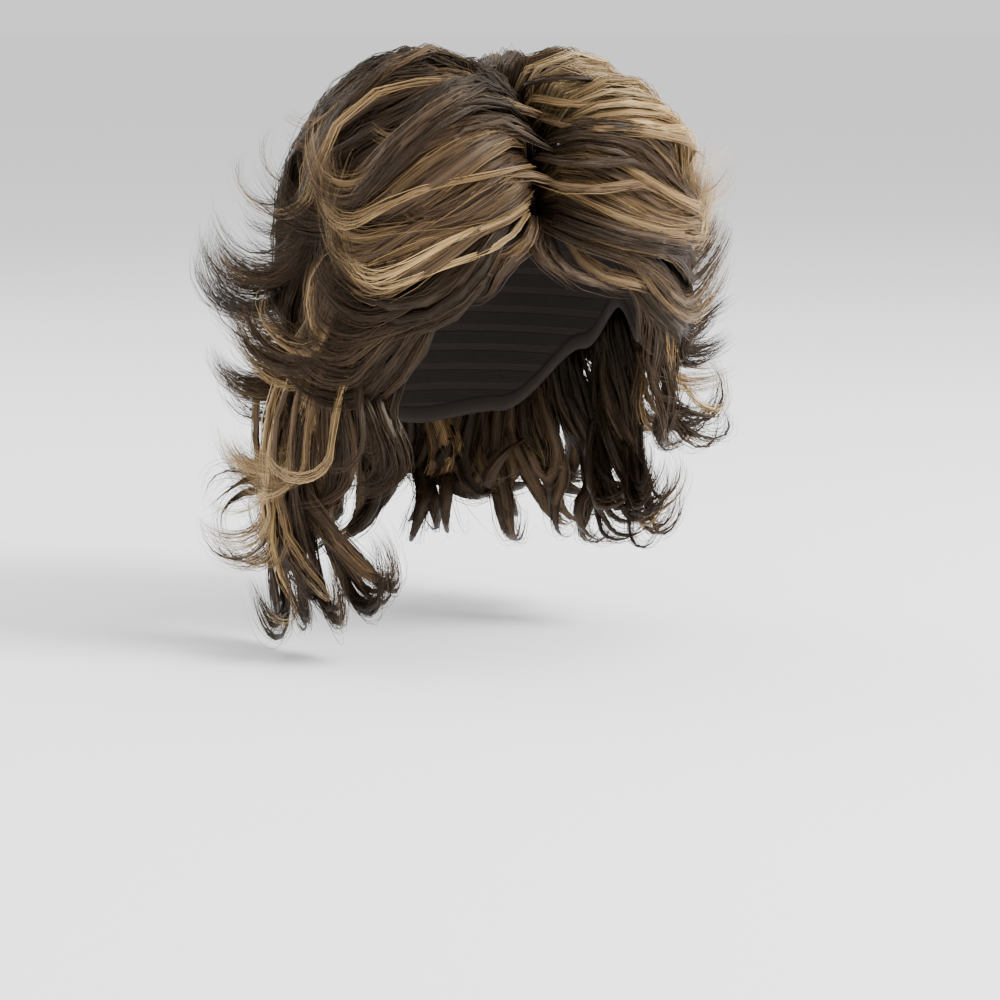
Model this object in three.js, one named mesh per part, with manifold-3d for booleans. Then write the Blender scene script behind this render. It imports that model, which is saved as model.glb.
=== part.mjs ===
// Curly layered wig: a thin stretch cap that follows the head, and wefts sewn round it.
// A weft is a narrow sewn band with tapering, curled locks of hair fused to it.
// Millimetres, +Z up. The face side is -Y and +X is the wearer's left.
// The origin is the point inside the cap that rests on the top of the head.

import * as THREE from 'three';
import Module from 'manifold-3d';

// Inside of the cap, the size of an average adult head
const HEAD_HALF_WIDTH = 78;
const HEAD_HALF_LENGTH = 99;
const CROWN_HEIGHT = 95; // from the head's widest level up to its top
const NAPE_DROP = 71; // from the widest level down to the nape edge
const NAPE_INSET = 0.15; // share of the radius lost at the nape edge

// Cap wall
const CAP_WALL = 1.8;
const CAP_SIDES = 28;
const CAP_RINGS = 7;
const CAP_COLOR = 0x2b211c;
const CAP_ROUGHNESS = 0.9;

// Edge of the cap: the way down to it at each turn from the face, the same on both sides
const CAP_EDGE = [
  { turn: 0, way: 102 },
  { turn: 32, way: 113 },
  { turn: 60, way: 166 },
  { turn: 86, way: 150 },
  { turn: 112, way: 176 },
  { turn: 150, way: 214 },
  { turn: 180, way: 220 },
];

// Weft bands, and the clearance between pieces
const GAP = 0.3;
const SHORTEST_EDGE = 0.02; // edges left by a cut that are shorter are closed up
const BAND_HEIGHT = 7;
const BAND_WALL = 2.2;
const BAND_GAP = 0.6; // at the roots, less between them on the round of the cap
const BAND_STEP = 16; // roots further apart have a section of the band between them

// Sections of a lock: where along it, and its share of the full width and thickness
const LOCK_SECTIONS = [
  { along: 0, width: 0.3, thick: 0.5 },
  { along: 0.28, width: 0.8, thick: 0.9 },
  { along: 0.55, width: 1, thick: 1 },
  { along: 0.77, width: 0.74, thick: 0.85 },
  { along: 0.92, width: 0.38, thick: 0.5 },
];
const FACE_SECTION = 2;
const LOCK_SIDES = 5;
const LIFT = 0.65; // below 1 the lock leaves the cap steeply
const BODY_STEPS = 6; // path points from root to end
const CURL_STEP = 32; // degrees of curl from one path point to the next
const ROOT_OUT = 4.4; // locks start inside their band, clear of the cap
const HAIR_ROUGHNESS = 0.45;

// How far one lock of a tier strays from the even spacing of its neighbours
const STRAY = { turn: 2.5, way: 6, out: 3, curlTurn: 20, curlRoll: 16 };
const GOLDEN = 0.6180339887;

// Locks, tier by tier. A tier has count locks, spread evenly from its first row to its last.
//   root: turn, way              where the lock is sewn to the cap
//   mid, end: turn, way, out     halfway, and where its curl begins
//   curl: radius, turn, roll     the curl past end; roll 0 is outward, 90 is back or up
//   size: width, thickness       at its fullest
// Turns are degrees from the face, plus to the wearer's right. Way is the distance down over
// the head from its top, and out is the distance from the head.
const WEFTS = [
  {
    name: 'fringe_right',
    color: 0x8a6f4d,
    tiers: [
      {
        count: 4,
        first: {
          root: [4, 66], mid: [24, 88, 41], end: [52, 100, 47], curl: [34, 50, 80], size: [28, 10],
        },
        last: {
          root: [7, 88], mid: [27, 118, 29], end: [47, 125, 38], curl: [32, 70, 85], size: [26, 9],
        },
      },
      {
        count: 2,
        first: {
          root: [10, 93], mid: [31, 133, 19], end: [57, 148, 34], curl: [36, 40, 30], size: [24, 8],
        },
        last: {
          root: [22, 101], mid: [40, 145, 14], end: [66, 170, 30], curl: [34, 45, 10], size: [23, 8],
        },
      },
    ],
  },
  {
    name: 'fringe_left',
    color: 0x7d6346,
    tiers: [
      {
        count: 4,
        first: {
          root: [0, 66], mid: [-20, 84, 41], end: [-50, 98, 50], curl: [26, 70, -80], size: [28, 10],
        },
        last: {
          root: [-1, 89], mid: [-22, 114, 24], end: [-52, 126, 42], curl: [16, 170, -60], size: [27, 9],
        },
      },
      {
        count: 2,
        first: {
          root: [-9, 94], mid: [-35, 127, 17], end: [-60, 146, 35], curl: [22, 80, -20], size: [25, 8],
        },
        last: {
          root: [-22, 99], mid: [-46, 140, 13], end: [-68, 170, 26], curl: [22, 90, 0], size: [24, 8],
        },
      },
    ],
  },
  {
    name: 'crown_right',
    color: 0x6d563c,
    tiers: [
      {
        count: 5,
        first: {
          root: [5, 56], mid: [31, 73, 48], end: [58, 100, 47], curl: [34, 45, 60], size: [24, 12],
        },
        last: {
          root: [26, 14], mid: [78, 60, 48], end: [92, 122, 42], curl: [28, 60, 20], size: [24, 12],
        },
      },
      {
        count: 3,
        first: {
          root: [88, 10], mid: [98, 64, 48], end: [106, 128, 40], curl: [26, 75, 10], size: [28, 13],
        },
        last: {
          root: [130, 12], mid: [131, 66, 46], end: [132, 134, 38], curl: [26, 85, 0], size: [32, 13],
        },
      },
    ],
  },
  {
    name: 'crown_left',
    color: 0x6a533a,
    tiers: [
      {
        count: 5,
        first: {
          root: [-5, 55], mid: [-31, 71, 49], end: [-58, 96, 50], curl: [30, 50, -60], size: [24, 12],
        },
        last: {
          root: [-26, 14], mid: [-78, 60, 50], end: [-92, 122, 44], curl: [28, 60, -20], size: [24, 12],
        },
      },
      {
        count: 3,
        first: {
          root: [-88, 10], mid: [-98, 64, 50], end: [-106, 128, 42], curl: [26, 75, -10], size: [28, 13],
        },
        last: {
          root: [-130, 12], mid: [-131, 66, 46], end: [-132, 134, 38], curl: [26, 85, 0], size: [32, 13],
        },
      },
    ],
  },
  {
    name: 'crown_back',
    color: 0x604c36,
    tiers: [
      {
        count: 6,
        first: {
          root: [150, 12], mid: [152, 66, 46], end: [148, 140, 40], curl: [26, 90, 0], size: [33, 13],
        },
        last: {
          root: [210, 12], mid: [208, 66, 46], end: [212, 140, 40], curl: [26, 90, 0], size: [33, 13],
        },
      },
    ],
  },
  {
    name: 'side_upper_right',
    color: 0x866a48,
    tiers: [
      {
        count: 6,
        first: {
          root: [50, 106], mid: [62, 136, 24], end: [72, 158, 30], curl: [22, 115, 45], size: [22, 10],
        },
        last: {
          root: [130, 98], mid: [124, 136, 28], end: [122, 160, 30], curl: [24, 140, 0], size: [25, 11],
        },
      },
    ],
  },
  {
    name: 'side_upper_left',
    color: 0x7b6143,
    tiers: [
      {
        count: 6,
        first: {
          root: [-50, 106], mid: [-60, 138, 22], end: [-68, 164, 30], curl: [20, 120, -20], size: [23, 10],
        },
        last: {
          root: [-130, 98], mid: [-124, 136, 28], end: [-122, 160, 30], curl: [24, 140, 0], size: [25, 11],
        },
      },
    ],
  },
  {
    name: 'back_upper',
    color: 0x6b5439,
    tiers: [
      {
        count: 6,
        first: {
          root: [144, 108], mid: [142, 152, 31], end: [142, 186, 36], curl: [24, 130, 0], size: [37, 12],
        },
        last: {
          root: [216, 108], mid: [218, 152, 31], end: [218, 186, 36], curl: [24, 130, 0], size: [37, 12],
        },
      },
    ],
  },
  {
    name: 'side_lower_right',
    color: 0x70593e,
    tiers: [
      {
        count: 2,
        first: {
          root: [60, 148], mid: [56, 182, 11], end: [54, 212, 14], curl: [17, 140, 85], size: [20, 8],
        },
        last: {
          root: [74, 136], mid: [74, 188, 17], end: [74, 230, 26], curl: [20, 150, 70], size: [24, 9],
        },
      },
      {
        count: 4,
        first: {
          root: [86, 130], mid: [90, 178, 22], end: [94, 206, 30], curl: [20, 140, 20], size: [24, 10],
        },
        last: {
          root: [132, 134], mid: [128, 182, 24], end: [126, 208, 34], curl: [21, 140, 0], size: [25, 10],
        },
      },
    ],
  },
  {
    name: 'side_lower_left',
    color: 0x6b543b,
    tiers: [
      {
        count: 2,
        first: {
          root: [-60, 148], mid: [-56, 184, 10], end: [-55, 214, 12], curl: [17, 100, -60], size: [20, 8],
        },
        last: {
          root: [-74, 136], mid: [-72, 186, 17], end: [-70, 216, 26], curl: [20, 140, -20], size: [24, 9],
        },
      },
      {
        count: 4,
        first: {
          root: [-86, 130], mid: [-90, 178, 22], end: [-94, 206, 30], curl: [20, 140, -10], size: [24, 10],
        },
        last: {
          root: [-132, 134], mid: [-128, 182, 24], end: [-126, 208, 34], curl: [21, 140, 0], size: [25, 10],
        },
      },
    ],
  },
  {
    name: 'back_lower',
    color: 0x5d4932,
    tiers: [
      {
        count: 6,
        first: {
          root: [144, 146], mid: [142, 200, 30], end: [141, 234, 40], curl: [21, 130, 0], size: [34, 11],
        },
        last: {
          root: [216, 146], mid: [218, 200, 30], end: [219, 234, 40], curl: [21, 130, 0], size: [34, 11],
        },
      },
    ],
  },
  {
    name: 'nape',
    color: 0x4a3929,
    tiers: [
      {
        count: 5,
        first: {
          root: [96, 152], mid: [86, 226, 14], end: [46, 288, 14], curl: [24, 110, -84], size: [24, 10],
        },
        last: {
          root: [116, 172], mid: [112, 246, 28], end: [86, 314, 34], curl: [20, 100, -40], size: [26, 11],
        },
      },
      {
        count: 8,
        first: {
          root: [124, 176], mid: [121, 242, 24], end: [119, 274, 36], curl: [20, 110, 0], size: [38, 11],
        },
        last: {
          root: [236, 176], mid: [239, 242, 24], end: [241, 274, 36], curl: [20, 110, 0], size: [38, 11],
        },
      },
      {
        count: 4,
        first: {
          root: [248, 168], mid: [249, 238, 24], end: [266, 282, 28], curl: [18, 120, 40], size: [26, 11],
        },
        last: {
          root: [264, 152], mid: [267, 222, 15], end: [294, 266, 15], curl: [18, 150, 70], size: [22, 10],
        },
      },
    ],
  },
];

const wasm = await Module();
wasm.setup();

const radians = THREE.MathUtils.degToRad;
const mix = THREE.MathUtils.lerp;

// Radius of the head at a turn, at its widest level
function girth(turn) {
  const across = Math.sin(radians(turn)) / HEAD_HALF_WIDTH;
  const along = Math.cos(radians(turn)) / HEAD_HALF_LENGTH;
  return 1 / Math.hypot(across, along);
}

// Point on the head: a way down over its round top, then straight down and in at the nape
function onHead(turn, way) {
  const widest = CROWN_HEIGHT * Math.PI / 2;
  const bow = Math.min(way, widest) / CROWN_HEIGHT;
  const drop = Math.max(way - widest, 0);
  const behind = Math.max(-Math.cos(radians(turn)), 0);
  const inset = 1 - NAPE_INSET * behind * Math.min(drop / NAPE_DROP, 1) ** 2;
  const reach = girth(turn) * Math.sin(bow) * inset;
  const up = CROWN_HEIGHT * (Math.cos(bow) - 1) - drop;
  return new THREE.Vector3(-reach * Math.sin(radians(turn)), -reach * Math.cos(radians(turn)), up);
}

// Direction straight out from the head at a point
function outward(point) {
  const rise = Math.max(point.z + CROWN_HEIGHT, 0) / CROWN_HEIGHT ** 2;
  return new THREE.Vector3(point.x / HEAD_HALF_WIDTH ** 2, point.y / HEAD_HALF_LENGTH ** 2, rise).normalize();
}

// Point at a distance out from the head
function besideHead(turn, way, out) {
  const point = onHead(turn, way);
  return point.addScaledVector(outward(point), out);
}

// The part of a direction that is square to another
function squareTo(direction, axis) {
  return direction.clone().addScaledVector(axis, -direction.dot(axis)).normalize();
}

// Closed skin over rings of points, from a start point to an end point, with its faces outward
function skin(start, rings, end) {
  const sides = rings[0].length;
  const corners = [start, ...rings.flat(), end];
  const last = corners.length - 1;
  const faces = [];
  for (let side = 0; side < sides; side += 1) {
    const next = (side + 1) % sides;
    faces.push(0, 1 + next, 1 + side);
    for (let ring = 0; ring < rings.length - 1; ring += 1) {
      const here = 1 + ring * sides;
      const there = here + sides;
      faces.push(here + side, here + next, there + side, here + next, there + next, there + side);
    }
    faces.push(last, last - sides + side, last - sides + next);
  }
  const geometry = new THREE.BufferGeometry().setFromPoints(corners);
  geometry.setIndex(faces);
  return geometry;
}

// Solid of a closed geometry, and the geometry of a solid
function solidOf(geometry) {
  const vertProperties = Float32Array.from(geometry.attributes.position.array);
  const triVerts = Uint32Array.from(geometry.index.array);
  return new wasm.Manifold(new wasm.Mesh({ numProp: 3, vertProperties, triVerts }));
}

function geometryOf(solid) {
  const { vertProperties, triVerts } = solid.simplify(SHORTEST_EDGE).getMesh();
  const geometry = new THREE.BufferGeometry();
  geometry.setAttribute('position', new THREE.BufferAttribute(vertProperties, 3));
  geometry.setIndex(new THREE.BufferAttribute(triVerts, 1));
  geometry.computeVertexNormals();
  return geometry;
}

function joined(solids) {
  return solids.reduce((whole, solid) => whole.add(solid));
}

function largestBody(solid) {
  return solid.decompose().reduce((best, body) => (body.volume() > best.volume() ? body : best));
}

// Way down to the cap's edge at a turn, eased from one row of its table to the next
function capEdge(turn) {
  const fold = Math.abs(((turn + 540) % 360) - 180);
  const index = Math.max(CAP_EDGE.findIndex((row) => row.turn >= fold), 1);
  const [before, after] = [CAP_EDGE[index - 1], CAP_EDGE[index]];
  return mix(before.way, after.way, THREE.MathUtils.smoothstep(fold, before.turn, after.turn));
}

// Rings of the cap's wall from near its top down to its edge
function capRings(out) {
  return Array.from({ length: CAP_RINGS }, (_, ring) => Array.from({ length: CAP_SIDES }, (__, side) => {
    const turn = (360 * side) / CAP_SIDES;
    return besideHead(turn, (capEdge(turn) * (ring + 1)) / CAP_RINGS, out);
  }));
}

// The cap: outer skin from the top down to the edge, inner skin back up
function capSolid() {
  const rings = [...capRings(CAP_WALL), ...capRings(0).reverse()];
  return solidOf(skin(new THREE.Vector3(0, 0, CAP_WALL), rings, new THREE.Vector3()));
}

// A steady number from -1 to 1 for each lock and column
function stray(lock, column) {
  return 2 * (((lock * 7 + column) * GOLDEN) % 1) - 1;
}

function between(first, last, share) {
  return first.map((value, column) => mix(value, last[column], share));
}

// All the locks of a weft, each with its own stray
function locksOf(weft) {
  const seed = 100 * WEFTS.indexOf(weft);
  const locks = weft.tiers.flatMap((tier) => Array.from({ length: tier.count }, (_, index) => {
    const share = index / Math.max(tier.count - 1, 1);
    const columns = Object.keys(tier.first);
    return Object.fromEntries(columns.map((key) => [key, between(tier.first[key], tier.last[key], share)]));
  }));
  locks.forEach((lock, index) => {
    lock.end[0] += STRAY.turn * stray(seed + index, 1);
    lock.end[1] += STRAY.way * stray(seed + index, 2);
    lock.end[2] += STRAY.out * stray(seed + index, 3);
    lock.curl[1] += STRAY.curlTurn * stray(seed + index, 4);
    lock.curl[2] += STRAY.curlRoll * stray(seed + index, 5);
  });
  return locks;
}

// Point of a lock's body: an even bow over the head from its root through mid to end
function bodyPoint(lock, share) {
  const rows = [[...lock.root, ROOT_OUT], lock.mid, lock.end];
  const bow = (column, at) => {
    const shares = [(1 - at) * (1 - 2 * at), 4 * at * (1 - at), at * (2 * at - 1)];
    return shares.reduce((sum, share, row) => sum + share * rows[row][column], 0);
  };
  return besideHead(bow(0, share), bow(1, share), bow(2, share ** LIFT));
}

// Centre line of a lock: its body, then round its curl
function lockPath(lock) {
  const points = Array.from({ length: BODY_STEPS + 1 }, (_, step) => bodyPoint(lock, step / BODY_STEPS));
  const end = points.at(-1);
  const ahead = end.clone().sub(points.at(-2)).normalize();
  const out = squareTo(outward(end), ahead);
  const [radius, turn, roll] = lock.curl;
  const bend = out.clone().multiplyScalar(Math.cos(radians(roll)));
  bend.addScaledVector(ahead.clone().cross(out), Math.sin(radians(roll)));
  const steps = Math.max(Math.round(turn / CURL_STEP), 1);
  for (let step = 1; step <= steps; step += 1) {
    const angle = radians((turn * step) / steps);
    const point = end.clone().addScaledVector(ahead, radius * Math.sin(angle));
    points.push(point.addScaledVector(bend, radius * (1 - Math.cos(angle))));
  }
  return new THREE.CatmullRomCurve3(points, false, 'catmullrom', 0.5);
}

// The flat side of a lock at each section: straight out at mid-length, then carried both ways
function lockFaces(path) {
  const faces = [];
  const carry = (from, to) => {
    faces[to] = squareTo(faces[from], path.getTangentAt(LOCK_SECTIONS[to].along));
  };
  const { along } = LOCK_SECTIONS[FACE_SECTION];
  faces[FACE_SECTION] = squareTo(outward(path.getPointAt(along)), path.getTangentAt(along));
  for (let index = FACE_SECTION; index > 0; index -= 1) carry(index, index - 1);
  for (let index = FACE_SECTION; index < LOCK_SECTIONS.length - 1; index += 1) carry(index, index + 1);
  return faces;
}

// A lock's solid: flat tapering sections along its path
function lockSolid(lock, grow = 0) {
  const path = lockPath(lock);
  const faces = lockFaces(path);
  const [width, thick] = lock.size;
  const rings = LOCK_SECTIONS.map((section, index) => {
    const centre = path.getPointAt(section.along);
    const across = faces[index].clone().cross(path.getTangentAt(section.along));
    return Array.from({ length: LOCK_SIDES }, (_, side) => {
      const angle = (2 * Math.PI * side) / LOCK_SIDES;
      const corner = centre.clone();
      corner.addScaledVector(across, Math.cos(angle) * (section.width * width / 2 + grow));
      return corner.addScaledVector(faces[index], Math.sin(angle) * (section.thick * thick / 2 + grow));
    });
  });
  const tip = path.getPointAt(1).addScaledVector(path.getTangentAt(1), grow);
  return solidOf(skin(path.getPointAt(0), rings, tip));
}

function middleOf(points) {
  const sum = points.reduce((total, point) => total.add(point), new THREE.Vector3());
  return sum.divideScalar(points.length);
}

// The sewn band: one flat strip on the cap through all the roots of a weft
function bandSolid(locks, grow) {
  const places = locks.flatMap((lock, index) => {
    const here = onHead(...lock.root);
    const next = locks[index + 1] ?? lock;
    const far = here.distanceTo(onHead(...next.root)) > BAND_STEP;
    return far ? [here, onHead(...between(lock.root, next.root, 0.5))] : [here];
  });
  const rings = places.map((place, index) => {
    const before = places[Math.max(index - 1, 0)];
    const after = places[Math.min(index + 1, places.length - 1)];
    const out = outward(place);
    const across = out.clone().cross(after.clone().sub(before)).normalize();
    return [[1, 0], [1, 1], [-1, 1], [-1, 0]].map(([side, depth]) => {
      const height = CAP_WALL + BAND_GAP + depth * (BAND_WALL + grow);
      const corner = place.clone().addScaledVector(out, height);
      return corner.addScaledVector(across, side * (BAND_HEIGHT / 2 + grow));
    });
  });
  return solidOf(skin(middleOf(rings[0]), rings, middleOf(rings.at(-1))));
}

// A weft's band and locks, fused
function weftSolid(weft, grow = 0) {
  const locks = locksOf(weft);
  return joined([bandSolid(locks, grow), ...locks.map((lock) => lockSolid(lock, grow))]);
}

function piece(name, solid, color, roughness) {
  const mesh = new THREE.Mesh(
    geometryOf(solid),
    new THREE.MeshStandardMaterial({ color, roughness, metalness: 0 }),
  );
  mesh.name = name;
  return mesh;
}

// The wig: the cap, then each weft cut clear of the wefts that lie over it
const wig = new THREE.Group();
wig.add(piece('cap', capSolid(), CAP_COLOR, CAP_ROUGHNESS));
let taken = null;
for (const weft of WEFTS) {
  const whole = weftSolid(weft);
  const cut = taken ? whole.subtract(taken) : whole;
  wig.add(piece(weft.name, largestBody(cut), weft.color, HAIR_ROUGHNESS));
  const grown = weftSolid(weft, GAP);
  taken = taken ? taken.add(grown) : grown;
}

export default wig;
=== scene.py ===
"""Curly layered wig: fine hair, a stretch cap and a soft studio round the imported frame."""

import logging
import math
from dataclasses import dataclass, field
from enum import Enum, IntEnum
from typing import Any, Mapping, Sequence

import bmesh
import bpy
import numpy as np
from mathutils import Matrix, Vector


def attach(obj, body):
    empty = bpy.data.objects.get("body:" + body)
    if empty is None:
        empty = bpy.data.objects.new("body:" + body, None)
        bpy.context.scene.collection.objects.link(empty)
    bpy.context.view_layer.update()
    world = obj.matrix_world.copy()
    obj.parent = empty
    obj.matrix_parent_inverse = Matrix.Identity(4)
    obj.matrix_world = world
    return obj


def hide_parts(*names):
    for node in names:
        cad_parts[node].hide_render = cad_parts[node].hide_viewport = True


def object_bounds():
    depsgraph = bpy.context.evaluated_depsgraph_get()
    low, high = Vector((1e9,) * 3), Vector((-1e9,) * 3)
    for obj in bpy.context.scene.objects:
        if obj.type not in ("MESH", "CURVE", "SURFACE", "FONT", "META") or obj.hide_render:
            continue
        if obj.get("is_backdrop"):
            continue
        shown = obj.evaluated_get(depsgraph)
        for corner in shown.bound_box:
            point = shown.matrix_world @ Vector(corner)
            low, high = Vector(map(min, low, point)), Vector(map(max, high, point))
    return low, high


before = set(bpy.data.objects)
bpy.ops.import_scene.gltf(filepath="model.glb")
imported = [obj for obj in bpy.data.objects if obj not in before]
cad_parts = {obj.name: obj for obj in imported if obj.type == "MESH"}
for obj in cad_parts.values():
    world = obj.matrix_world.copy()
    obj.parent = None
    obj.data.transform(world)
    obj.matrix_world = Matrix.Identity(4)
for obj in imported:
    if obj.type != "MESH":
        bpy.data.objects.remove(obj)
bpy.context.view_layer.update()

LOG = logging.getLogger("wig")
MM = 0.001
TINY = 1e-12
MERGE = 1e-6
FULL_TURN = 360
GOLDEN = 0.6180339887
BODY = "root"
HAIR_MAP = "OFBake"
CAP_MAP = "rows"
Rgb = tuple[float, float, float]
Span = tuple[float, float]
Triple = tuple[float, float, float]


class Column(IntEnum):
    """Columns of a lock's row: degrees for turns and rolls, millimetres for the rest."""

    ROOT_TURN = 0
    ROOT_WAY = 1
    MID_TURN = 2
    MID_WAY = 3
    MID_OUT = 4
    END_TURN = 5
    END_WAY = 6
    END_OUT = 7
    CURL_RADIUS = 8
    CURL_TURN = 9
    CURL_ROLL = 10
    WIDTH = 11
    THICK = 12


MIDDLE = [Column.MID_TURN, Column.MID_WAY, Column.MID_OUT]
END = [Column.END_TURN, Column.END_WAY, Column.END_OUT]
CURL_BEND = [Column.CURL_TURN, Column.CURL_ROLL]


class Tone(Enum):
    """Places of the dyed hair colours along the colour map."""

    SHADE = 0.06
    DARK = 0.2
    COOL = 0.36
    BROWN = 0.5
    WARM = 0.64
    GOLD = 0.8
    BLOND = 0.94


def linear(red: int, green: int, blue: int) -> Rgb:
    """Turn a screen colour into the linear one that shaders take.

    Args:
        red: red from 0 to 255.
        green: green from 0 to 255.
        blue: blue from 0 to 255.

    Returns:
        The linear colour.
    """
    toe, slope, offset, power = 0.04045, 12.92, 0.055, 2.4
    parts = [value / 255 for value in (red, green, blue)]
    return tuple(part / slope if part <= toe else ((part + offset) / (1 + offset)) ** power
                 for part in parts)


def unit(vectors: np.ndarray) -> np.ndarray:
    """Scale vectors to length one."""
    return vectors / np.maximum(np.linalg.norm(vectors, axis=-1, keepdims=True), TINY)


def square_to(vectors: np.ndarray, axes: np.ndarray) -> np.ndarray:
    """Give the unit part of each vector that is square to its axis."""
    return unit(vectors - (vectors * axes).sum(-1, keepdims=True) * axes)


def ease(values: np.ndarray, low: float, high: float) -> np.ndarray:
    """Rise smoothly from 0 at low to 1 at high."""
    share = np.clip((values - low) / (high - low), 0, 1)
    return share * share * (3 - 2 * share)


class Wire:
    """An output socket of a material's graph, with arithmetic."""

    def __init__(self, graph: "Graph", socket: bpy.types.NodeSocket) -> None:
        """Hold the socket and the graph it belongs to."""
        self.graph = graph
        self.socket = socket

    def _math(self, operation: str, first: Any, second: Any) -> "Wire":
        """Add one Math node."""
        return self.graph.node("ShaderNodeMath", {"operation": operation}, {0: first, 1: second})

    def __add__(self, other: Any) -> "Wire":
        """Add a value."""
        return self._math("ADD", self, other)

    __radd__ = __add__

    def __sub__(self, other: Any) -> "Wire":
        """Take a value away."""
        return self._math("SUBTRACT", self, other)

    def __rsub__(self, other: Any) -> "Wire":
        """Take this from a value."""
        return self._math("SUBTRACT", other, self)

    def __mul__(self, other: Any) -> "Wire":
        """Multiply by a value."""
        return self._math("MULTIPLY", self, other)

    __rmul__ = __mul__

    def wave(self) -> "Wire":
        """Take the sine."""
        return self.graph.node("ShaderNodeMath", {"operation": "SINE"}, {0: self})

    def step(self, low: float, high: float) -> "Wire":
        """Rise smoothly from 0 at low to 1 at high."""
        settings = {"interpolation_type": "SMOOTHSTEP"}
        return self.graph.node("ShaderNodeMapRange", settings, {0: self, 1: low, 2: high})


class Graph:
    """The nodes of one material."""

    def __init__(self, name: str) -> None:
        """Start a material with its shader.

        Args:
            name: the material's name.
        """
        self.material = bpy.data.materials.new(name)
        self.material.use_nodes = True
        self.tree = self.material.node_tree
        self.shader = self.tree.nodes["Principled BSDF"]

    def node(self, kind: str, settings: Mapping[str, Any] | None = None,
             sockets: Mapping[int | str, Any] | None = None, output: int | str = 0) -> Wire:
        """Add a node.

        Args:
            kind: the node's type.
            settings: its settings; stops are a colour ramp's places and colours.
            sockets: values or wires of its inputs.
            output: the output to hand back.

        Returns:
            That output.
        """
        made = self.tree.nodes.new(kind)
        for key, value in (settings or {}).items():
            if key == "stops":
                self._stops(made.color_ramp, value)
            else:
                setattr(made, key, value)
        for key, value in (sockets or {}).items():
            self.join(made.inputs[key], value)
        return Wire(self, made.outputs[output])

    @staticmethod
    def _stops(ramp: bpy.types.ColorRamp, stops: Sequence[tuple[float, Rgb]]) -> None:
        """Set a ramp's stops.

        Args:
            ramp: the ramp.
            stops: its places and colours.
        """
        while len(ramp.elements) < len(stops):
            ramp.elements.new(1.0)
        for element, (place, colour) in zip(ramp.elements, stops):
            element.position = place
            element.color = (*colour, 1.0)

    def join(self, socket: bpy.types.NodeSocket, value: Any) -> None:
        """Link a wire to an input, or set its value.

        Args:
            socket: the input.
            value: a wire or a plain value.
        """
        if isinstance(value, Wire):
            self.tree.links.new(value.socket, socket)
        else:
            socket.default_value = value

    def read_map(self, name: str) -> tuple[Wire, ...]:
        """Read a piece's own map and give the places across it and along it."""
        place = self.node("ShaderNodeUVMap", {"uv_map": name})
        return tuple(self.node("ShaderNodeSeparateXYZ", None, {0: place}, part) for part in "XY")

    def mix(self, factor: Any, first: Any, second: Any, blend: str = "MIX") -> Wire:
        """Mix two colours.

        Args:
            factor: share of the second.
            first: a colour or wire.
            second: a colour or wire.
            blend: how they mix.

        Returns:
            The mixed colour.
        """
        first = first if isinstance(first, Wire) else (*first, 1.0)
        second = second if isinstance(second, Wire) else (*second, 1.0)
        settings = {"data_type": "RGBA", "blend_type": blend}
        return self.node("ShaderNodeMix", settings, {0: factor, 6: first, 7: second}, 2)

    def bump(self, height: Wire, strength: float, depth: float) -> Wire:
        """Raise the surface by a height, to a depth in metres."""
        return self.node("ShaderNodeBump", None, {"Strength": strength, "Distance": depth, "Height": height})

    def shade(self, **inputs: Any) -> bpy.types.Material:
        """Feed the shader.

        Args:
            inputs: wires or values, with spaces in socket names written as underscores.

        Returns:
            The finished material.
        """
        for name, value in inputs.items():
            self.join(self.shader.inputs[name.replace("_", " ")], value)
        return self.material


@dataclass(frozen=True)
class HairFinish:
    """Satin synthetic hair: one colour map, across it the dyed tones, along it from root to tip. Towards the
    root the colour is darkened, partly the wig's darker rooted dye and partly painted shade at the part and
    under the upper layers.
    """

    lengths: tuple[tuple[float, Rgb], ...] = (
        (Tone.SHADE.value, linear(26, 18, 12)),
        (Tone.DARK.value, linear(48, 35, 25)),
        (Tone.COOL.value, linear(78, 61, 48)),
        (Tone.BROWN.value, linear(104, 82, 55)),
        (Tone.WARM.value, linear(144, 116, 78)),
        (Tone.GOLD.value, linear(196, 163, 114)),
        (Tone.BLOND.value, linear(232, 209, 166)),
    )
    # Darker towards the root: the wig's darker rooted dye, and painted shade at the part and under the upper
    # layers.
    root_dye_and_painted_shade: float = 0.34
    root_reach: float = 0.6
    tip_light: Rgb = linear(238, 214, 170)
    tip_share: float = 0.3
    tip_start: float = 0.55
    strands: Span = (43.0, 101.0)
    strand_shift: float = 0.11
    strand_relief: float = 0.5
    strand_depth: float = 0.2 * MM
    roughness: float = 0.38
    shine: float = 0.28
    shine_tint: Rgb = (1.0, 0.84, 0.64)

    def material(self) -> bpy.types.Material:
        """Make the hair's material.

        Returns:
            The material.
        """
        graph = Graph("hair")
        tone, along = graph.read_map(HAIR_MAP)
        waves = sum((tone * (2 * math.pi * pitch)).wave() for pitch in self.strands)
        fine = waves * (1 / len(self.strands))
        shifted = tone + fine * self.strand_shift
        dyed = graph.node("ShaderNodeValToRGB", {"stops": self.lengths}, {0: shifted})
        # Darken towards the root: rooted dye, and painted shade at the part and under the layers.
        root_dye_and_shade_factor = along.step(0.0, self.root_reach) * (1 - self.root_dye_and_painted_shade) + self.root_dye_and_painted_shade
        grey = graph.node("ShaderNodeCombineColor", None, {0: root_dye_and_shade_factor, 1: root_dye_and_shade_factor, 2: root_dye_and_shade_factor})
        rooted = graph.mix(1.0, dyed, grey, "MULTIPLY")
        light = tone.step(Tone.COOL.value, Tone.GOLD.value)
        tipped = along.step(self.tip_start, 1.0) * light * self.tip_share
        return graph.shade(
            Base_Color=graph.mix(tipped, rooted, self.tip_light),
            Roughness=self.roughness,
            Specular_IOR_Level=self.shine,
            Specular_Tint=(*self.shine_tint, 1.0),
            Normal=graph.bump(fine, self.strand_relief, self.strand_depth),
        )


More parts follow.
